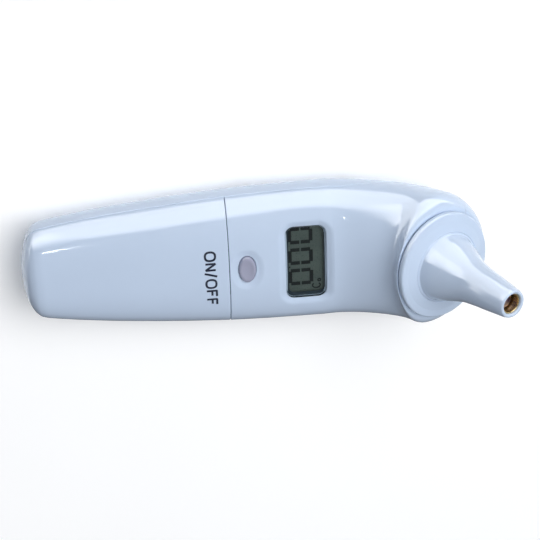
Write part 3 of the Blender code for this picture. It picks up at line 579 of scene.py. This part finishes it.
def strokes(name, paths, wide, base, thick, body, slot):
    """One piece made of strokes; a path that ends with None is closed."""
    points, faces, count = [], [], 0
    for path in paths:
        closed = path[-1] is None
        p, f = ribbon(path[:-1] if closed else path, wide, base, thick, closed)
        faces += [tuple(i + count for i in face) for face in f]
        points.append(p)
        count += len(p)
    return mesh_piece(name, np.concatenate(points), faces, body, slot=slot, flat=True)


def superoval(cx, cy, half_x, half_y, count=40):
    angle = np.linspace(0, 2 * math.pi, count, endpoint=False)
    c, s = np.cos(angle), np.sin(angle)
    return [(cx + half_x * math.copysign(abs(a) ** 0.8, a),
             cy + half_y * math.copysign(abs(b) ** 0.8, b)) for a, b in zip(c, s)]


LETTERS = {
    "N": [[(0, 0), (1, 0), (0, 1), (1, 1)]],
    "/": [[(-0.12, 0), (1.12, 1)]],
    "F": [[(0, 0), (1, 0), (1, 1)], [(0.55, 0), (0.55, 0.85)]],
}


def make_print():
    """The plain switch label beside the seam, its letters' tops toward the display."""
    low, tall = SEAM_X - 6.35, 2.65
    at, paths = 6.0, []
    for letter, wide in (("O", 2.4), ("N", 1.8), ("/", 1.0), ("O", 2.4), ("F", 1.75), ("F", 1.75)):
        if letter == "O":
            paths.append(superoval(low + tall / 2, at - wide / 2, tall / 2, wide / 2) + [None])
        for line in LETTERS.get(letter, []):
            paths.append([(low + tall * u, at - wide * v) for u, v in line])
        at -= wide + 0.92
    return strokes("switch_label", paths, 0.58, front_height, 0.012, "door", "battery_door")


def make_window_painted_shade():
    """Painted shade: a dark border under the display lens standing in for the recess walls' shadow
    seen through it, wider at the digits' feet and on the -Y side.
    """
    half_x, half_y, top = LENS_WIDTH / 2 - 0.1, LENS_LENGTH / 2 - 0.1, LENS_TOP - 1.0
    outer = rounded_loop(-half_x, half_x, -half_y, half_y, 2.1)
    inner = rounded_loop(0.75 - half_x, half_x - 0.3, 1.0 - half_y, half_y - 0.15, 1.4)
    rings = [[(x, y, z) for x, y in loop] for loop, z in
             ((outer, top), (inner, top), (inner, top - 0.1), (outer, top - 0.1))]
    points = np.array(rings).reshape(-1, 3)
    faces = grid_faces(4, len(outer), True, True)
    return mesh_piece("window_painted_shade", points, faces, "housing", slot="display_lens", flat=True)


def rounded_loop(low_x, high_x, low_y, high_y, radius, steps=8):
    """Points of a rounded rectangle about the display's middle."""
    out = []
    for k, (x, y) in enumerate(((high_x, high_y), (low_x, high_y), (low_x, low_y),
                                (high_x, low_y))):
        cx = x - math.copysign(radius, x)
        cy = y - math.copysign(radius, y)
        out += [(LENS_X + cx + radius * math.cos(t), cy + radius * math.sin(t))
                for t in np.linspace(k * math.pi / 2, (k + 1) * math.pi / 2, steps)]
    return out


def segments(x, y, tall, wide, lit, gap=0.2):
    """Strokes of a seven-segment digit that reads from +Y to -Y, its top toward +X."""
    half = tall / 2
    bars = {"a": ((tall, 0), (tall, 1)), "d": ((0, 0), (0, 1)), "g": ((half, 0), (half, 1)),
            "f": ((half, 0), (tall, 0)), "e": ((0, 0), (half, 0)),
            "b": ((half, 1), (tall, 1)), "c": ((0, 1), (half, 1))}
    paths = []
    for name in lit:
        (a, s), (b, t) = bars[name]
        p, q = np.array([x + a, y - s * wide]), np.array([x + b, y - t * wide])
        way = (q - p) / np.linalg.norm(q - p)
        paths.append([tuple(p + way * gap), tuple(q - way * gap)])
    return paths


def cell_height(x, y):
    """Height of the liquid crystal cell's face, for strokes that lie on it."""
    return CELL_TOP + 0 * x


def make_digits():
    """Three digits, a decimal point and the small degree sign and C of the display."""
    low, tall, wide, pitch, first = LENS_X - 4.05, 5.7, 3.85, 6.1, 8.95
    paths = []
    for k in range(3):
        paths += segments(low, first - pitch * k, tall, wide, "abcdef")
    bold = strokes("display_digits", paths, 1.0, cell_height, 0.02, "housing", "lcd_glass")
    dot = first - 1.5 * pitch - wide / 2
    small = [[(low - 0.1, dot - 0.2), (low - 0.1, dot + 0.2)]]
    small.append(superoval(LENS_X + 3.75, -6.55, 0.34, 0.34, 20) + [None])
    arc = np.linspace(math.radians(40), math.radians(320), 20)
    small.append([(LENS_X + 2.95 + 1.05 * math.sin(t), -8.1 + 0.75 * math.cos(t)) for t in arc])
    fine = strokes("display_signs", small, 0.36, cell_height, 0.02, "housing", "lcd_glass")
    return bold, fine


# ---- materials --------------------------------------------------------------------------------
def add(tree, kind, links=(), **values):
    """Adds a shader node, sets its values by input name or attribute, and links its inputs."""
    made = tree.nodes.new(kind)
    for key, value in values.items():
        name = key.replace("_", " ")
        if name in made.inputs:
            made.inputs[name].default_value = value
        else:
            setattr(made, key, value)
    for name, output in dict(links).items():
        tree.links.new(output, made.inputs[name])
    return made


def shade(colour, share):
    return tuple(min(c * share, 1.0) for c in colour[:3]) + (1.0,)


def material(name, colour, rough=0.4, metal=0.0, vary=0.04, cloud=120.0, grain=2500.0,
             bump=0.000004, coat=0.0, rough_vary=0.15, warp=0.0):
    """A surface whose colour drifts in soft clouds, with its own gloss variation and grain."""
    made = bpy.data.materials.new(name)
    made.use_nodes = True
    tree = made.node_tree
    shader = tree.nodes["Principled BSDF"]
    shader.inputs["Metallic"].default_value = metal
    shader.inputs["Coat Weight"].default_value = coat
    shader.inputs["Coat Roughness"].default_value = 0.04
    where = add(tree, "ShaderNodeTexCoord").outputs["Object"]
    soft = add(tree, "ShaderNodeTexNoise", {"Vector": where}, Scale=cloud, Detail=3.0)
    ramp = add(tree, "ShaderNodeValToRGB", {"Fac": soft.outputs["Fac"]})
    ramp.color_ramp.elements[0].position = 0.3
    ramp.color_ramp.elements[0].color = shade(colour, 1 - vary)
    ramp.color_ramp.elements[1].position = 0.7
    ramp.color_ramp.elements[1].color = shade(colour, 1 + vary)
    tree.links.new(ramp.outputs["Color"], shader.inputs["Base Color"])
    fine = add(tree, "ShaderNodeTexNoise", {"Vector": where}, Scale=grain, Detail=4.0,
               Distortion=warp)
    gloss = add(tree, "ShaderNodeMapRange", {"Value": fine.outputs["Fac"]}, From_Min=0.3,
                From_Max=0.7, To_Min=rough * (1 - rough_vary), To_Max=rough * (1 + rough_vary))
    tree.links.new(gloss.outputs["Result"], shader.inputs["Roughness"])
    relief = add(tree, "ShaderNodeBump", {"Height": fine.outputs["Fac"]}, Strength=0.5,
                 Distance=bump)
    tree.links.new(relief.outputs["Normal"], shader.inputs["Normal"])
    return made


def board_material(name):
    """Green solder mask with paler tracks under it."""
    made = material(name, (0.02, 0.16, 0.07), 0.3, vary=0.15)
    tree = made.node_tree
    shader = tree.nodes["Principled BSDF"]
    mask = shader.inputs["Base Color"].links[0].from_socket
    where = add(tree, "ShaderNodeTexCoord").outputs["Object"]
    tracks = add(tree, "ShaderNodeTexBrick", {"Vector": where}, Scale=160.0, Mortar_Size=0.06,
                 Color1=(0, 0, 0, 1), Color2=(0, 0, 0, 1), Mortar=(1, 1, 1, 1))
    mix = add(tree, "ShaderNodeMixRGB", {"Fac": tracks.outputs["Color"], "Color1": mask},
              Color2=(0.06, 0.34, 0.13, 1))
    tree.links.new(mix.outputs["Color"], shader.inputs["Base Color"])
    return made


def lens_material(name):
    """Clear lens: seen through, with a mirror gloss that grows toward grazing angles."""
    made = bpy.data.materials.new(name)
    made.use_nodes = True
    tree = made.node_tree
    tree.nodes.remove(tree.nodes["Principled BSDF"])
    where = add(tree, "ShaderNodeTexCoord").outputs["Object"]
    haze = add(tree, "ShaderNodeTexNoise", {"Vector": where}, Scale=400.0, Detail=3.0)
    tint = add(tree, "ShaderNodeValToRGB", {"Fac": haze.outputs["Fac"]})
    tint.color_ramp.elements[0].color = (0.90, 0.93, 0.92, 1)
    tint.color_ramp.elements[1].color = (0.95, 0.97, 0.96, 1)
    rough = add(tree, "ShaderNodeMapRange", {"Value": haze.outputs["Fac"]}, To_Min=0.02,
                To_Max=0.06)
    clear = add(tree, "ShaderNodeBsdfTransparent", {"Color": tint.outputs["Color"]})
    mirror = add(tree, "ShaderNodeBsdfGlossy", {"Roughness": rough.outputs["Result"]})
    fresnel = add(tree, "ShaderNodeFresnel", IOR=1.45)
    mix = tree.nodes.new("ShaderNodeMixShader")
    tree.links.new(fresnel.outputs["Fac"], mix.inputs[0])
    tree.links.new(clear.outputs[0], mix.inputs[1])
    tree.links.new(mirror.outputs[0], mix.inputs[2])
    tree.links.new(mix.outputs[0], tree.nodes["Material Output"].inputs["Surface"])
    return made


def paint(piece, mat):
    piece.data.materials.clear()
    piece.data.materials.append(mat)


def finish_node(node, mat, bevel=0.0):
    """Gives a solid of the model its finish, and rounds its edges a little."""
    thing = NODES[node]
    if not thing.material_slots:
        thing.data.materials.append(mat)
    for slot in thing.material_slots:
        slot.link = "OBJECT"
        slot.material = mat
    if bevel:
        step = thing.modifiers.new("soft_edges", "BEVEL")
        step.width, step.segments = bevel * 0.001, 3
        step.limit_method, step.angle_limit = "ANGLE", math.radians(50)


def finish_insides():
    steel = material("bright_steel", (0.62, 0.62, 0.64), 0.28, 1.0, 0.06, grain=1800.0, warp=2.0)
    spring = material("plated_spring", (0.78, 0.69, 0.46), 0.30, 1.0, 0.06)
    black = material("black_plastic", (0.018, 0.018, 0.020), 0.42, 0.0, 0.2, bump=0.00002)
    chip = material("chip_epoxy", (0.012, 0.012, 0.013), 0.5, 0.0, 0.3, bump=0.00003)
    pale = material("pale_nylon", (0.72, 0.70, 0.64), 0.5, 0.0, 0.05, bump=0.00001)
    rubber = material("grey_silicone", (0.30, 0.31, 0.33), 0.7, 0.0, 0.1, bump=0.00002)
    ribbon_film = material("flex_film", (0.62, 0.30, 0.05), 0.35, 0.0, 0.08)
    green = board_material("solder_mask")
    for node in ("case_screw_1", "case_screw_2", "case_screw_3", "case_screw_4", "pcb_screw_1",
                 "pcb_screw_2", "coin_cell", "sensor_holder"):
        finish_node(node, steel)
    finish_node("crystal", steel, 0.2)
    for node in ("negative_contact", "positive_contact"):
        finish_node(node, spring)
    for node in ("battery_holder", "power_switch", "scan_switch", "buzzer"):
        finish_node(node, black, 0.1)
    for node in ("mcu_chip", "amplifier_chip"):
        finish_node(node, chip, 0.15)
    for node in ("power_plunger", "scan_plunger", "lcd_frame"):
        finish_node(node, pale, 0.1)
    for node in ("zebra_strip_1", "zebra_strip_2"):
        finish_node(node, rubber, 0.15)
    for node in ("main_pcb", "sensor_board"):
        finish_node(node, green)
    finish_node("sensor_flex", ribbon_film)


# ---- camera, lights, floor --------------------------------------------------------------------
def make_camera():
    """The photograph's viewing angle: from the display side, a little from +Y, rolled."""
    data = bpy.data.cameras.new("camera")
    data.sensor_width = 36.0
    data.lens = 98.2
    camera = bpy.data.objects.new("camera", data)
    bpy.context.scene.collection.objects.link(camera)
    azimuth, elevation = math.radians(102.2), math.radians(62.6)
    back = Vector((math.cos(elevation) * math.cos(azimuth), math.cos(elevation) * math.sin(azimuth),
                   math.sin(elevation)))
    target = Vector((21.2, -14.8, -7.2)) * 0.001
    right = Vector((0.9917, -0.0317, 0.1244))
    right = (right - back * right.dot(back)).normalized()
    turn = Matrix((right, back.cross(right), back)).transposed().to_4x4()
    camera.matrix_world = Matrix.Translation(target + back * 0.42) @ turn
    bpy.context.scene.camera = camera


def area_light(name, where, aim, size, radiance, shows="both", turn=0.0, soft_top=None):
    """A rectangular lamp of an even brightness that shows in gloss, in diffuse light, or both."""
    data = bpy.data.lights.new(name, "AREA")
    data.shape = "RECTANGLE"
    data.size, data.size_y = size
    data.energy = radiance * size[0] * size[1] * math.pi
    lamp = bpy.data.objects.new(name, data)
    bpy.context.scene.collection.objects.link(lamp)
    way = (Vector(aim) - Vector(where)).to_track_quat("-Z", "Y").to_matrix().to_4x4()
    spin = Matrix.Rotation(math.radians(turn), 4, "Z")
    lamp.matrix_world = Matrix.Translation(Vector(where)) @ spin @ way
    lamp.visible_camera = False
    lamp.visible_diffuse = shows != "gloss"
    lamp.visible_glossy = shows != "diffuse"
    if soft_top is not None:
        fade_top(data, soft_top)
    return lamp


def fade_top(data, start):
    """Dims a lamp smoothly from a share of its height to its upper edge."""
    data.use_nodes = True
    tree = data.node_tree
    emission = tree.nodes["Emission"]
    across = add(tree, "ShaderNodeNewGeometry").outputs["Parametric"]
    split = add(tree, "ShaderNodeSeparateXYZ", {"Vector": across})
    fade = add(tree, "ShaderNodeMapRange", {"Value": split.outputs["Y"]},
               interpolation_type="SMOOTHSTEP", From_Min=start, From_Max=1.0, To_Min=1.0, To_Max=0.0)
    tree.links.new(fade.outputs["Result"], emission.inputs["Strength"])


def make_card(name, low, high, height, shade_of_grey):
    """A dark studio card just over the floor that the camera and the shadows pass through."""
    data = bpy.data.meshes.new(name)
    data.from_pydata([(low[0], low[1], 0), (high[0], low[1], 0), (high[0], high[1], 0),
                      (low[0], high[1], 0)], [], [(0, 1, 2, 3)])
    card = bpy.data.objects.new(name, data)
    bpy.context.scene.collection.objects.link(card)
    card.location.z = height
    mat = material(name, (shade_of_grey,) * 3, 0.9, bump=0.0)
    tree = mat.node_tree
    shader = tree.nodes["Principled BSDF"]
    shader.inputs["Specular IOR Level"].default_value = 0.0
    mix = tree.nodes.new("ShaderNodeMixShader")
    tree.links.new(add(tree, "ShaderNodeNewGeometry").outputs["Backfacing"], mix.inputs[0])
    tree.links.new(shader.outputs[0], mix.inputs[1])
    tree.links.new(add(tree, "ShaderNodeBsdfTransparent").outputs[0], mix.inputs[2])
    tree.links.new(mix.outputs[0], tree.nodes["Material Output"].inputs["Surface"])
    paint(card, mat)
    card.visible_camera = False
    card.visible_shadow = False


def make_stage():
    """White floor, soft lamps that mostly show in the gloss, and the sky's light."""
    data = bpy.data.meshes.new("floor")
    data.from_pydata([(-4, -4, 0), (4, -4, 0), (4, 4, 0), (-4, 4, 0)], [], [(0, 1, 2, 3)])
    floor = bpy.data.objects.new("floor", data)
    bpy.context.scene.collection.objects.link(floor)
    floor.location.z = -0.0003
    paper = material("floor_paper", (0.92, 0.92, 0.92), 0.9, vary=0.01, cloud=8.0, bump=0.0)
    shader = paper.node_tree.nodes["Principled BSDF"]
    shader.inputs["Emission Color"].default_value = (1, 1, 1, 1)
    shader.inputs["Emission Strength"].default_value = 0.12
    shader.inputs["Specular IOR Level"].default_value = 0.0
    paint(floor, paper)
    world = bpy.data.worlds.new("studio")
    world.use_nodes = True
    world.node_tree.nodes["Background"].inputs[0].default_value = (0.84, 0.90, 1.0, 1)
    world.node_tree.nodes["Background"].inputs[1].default_value = 0.22
    bpy.context.scene.world = world
    bpy.context.scene.view_settings.view_transform = "Standard"
    area_light("window", (0.27, 0.55, 0.42), (0.27, 0.0, 0.42), (0.94, 0.90), 4.9, "gloss",
               soft_top=0.6)
    area_light("window_side", (-0.70, 0.55, 0.40), (-0.70, 0.0, 0.40), (1.0, 0.86), 7.2, "gloss",
               soft_top=0.2)
    area_light("low_window", (-0.06, 0.30, 0.001), (-0.06, 0.30, 1.0), (1.5, 0.52), 3.8, "gloss",
               turn=12.0)
    area_light("sky_panel", (0.42, 0.36, 0.90), (0.02, 0, 0.01), (0.9, 0.9), 4.7, "diffuse")
    area_light("low_fill", (-0.28, -0.34, 0.16), (0.06, 0.0, 0.02), (0.35, 0.3), 0.8, "diffuse")
    area_light("small_lamp", (-0.20, 0.27, 0.70), (0.04, 0.012, 0.02), (0.03, 0.03), 35.0, "gloss")
    make_card("dark_card", (-0.25, -0.40), (0.30, -0.018), 0.0005, 0.12)


door = make_battery_door()
rear = make_rear_shell()
front = make_front_shell()
cap = make_head_cap()
probe = make_probe()
key = make_key()
scan = make_scan_key()
gold = make_gold_sleeve()
label = make_print()
digits = make_digits()
border = make_window_painted_shade()
white = material("white_plastic", (0.52, 0.62, 0.77), 0.11, vary=0.012, cloud=60.0,
                 grain=1600.0, bump=0.0000015, coat=0.3)
for piece in (door, rear, front, cap, probe):
    paint(piece, white)
# painted shade: the display recess's walls are painted near black where they lie in shadow
front.data.materials.append(material("recess_painted_shade", (0.035, 0.055, 0.085), 0.3, vary=0.05))
paint(key, material("key_plastic", (0.32, 0.33, 0.43), 0.14, vary=0.03, bump=0.000004))
paint(scan, material("blue_key", (0.30, 0.46, 0.66), 0.25, vary=0.03, bump=0.00001))
paint(gold, material("gold_plate", (0.98, 0.74, 0.36), 0.28, 1.0, 0.05, grain=3000.0))
paint(label, material("navy_ink", (0.012, 0.016, 0.035), 0.45, vary=0.15))
ink = material("segment_ink", (0.004, 0.006, 0.007), 0.5, vary=0.1)
for piece in digits:
    paint(piece, ink)
# painted shade: this dark border stands in for the shadow of the display recess's walls
paint(border, material("painted_window_shade", (0.018, 0.034, 0.052), 0.4, vary=0.15))
finish_insides()
finish_node("lcd_glass", material("liquid_crystal", (0.105, 0.130, 0.120), 0.3, vary=0.10,
                                  cloud=200.0, bump=0.0), 0.1)
finish_node("display_lens", lens_material("lens_clear"), 0.12)
finish_node("sensor_can", material("sensor_cap", (0.20, 0.17, 0.22), 0.35, 1.0, 0.2,
                                   cloud=2500.0))
finish_node("sensor_window", material("sensor_glass", (0.035, 0.02, 0.05), 0.12, vary=0.5,
                                      cloud=3000.0))
make_camera()
make_stage()
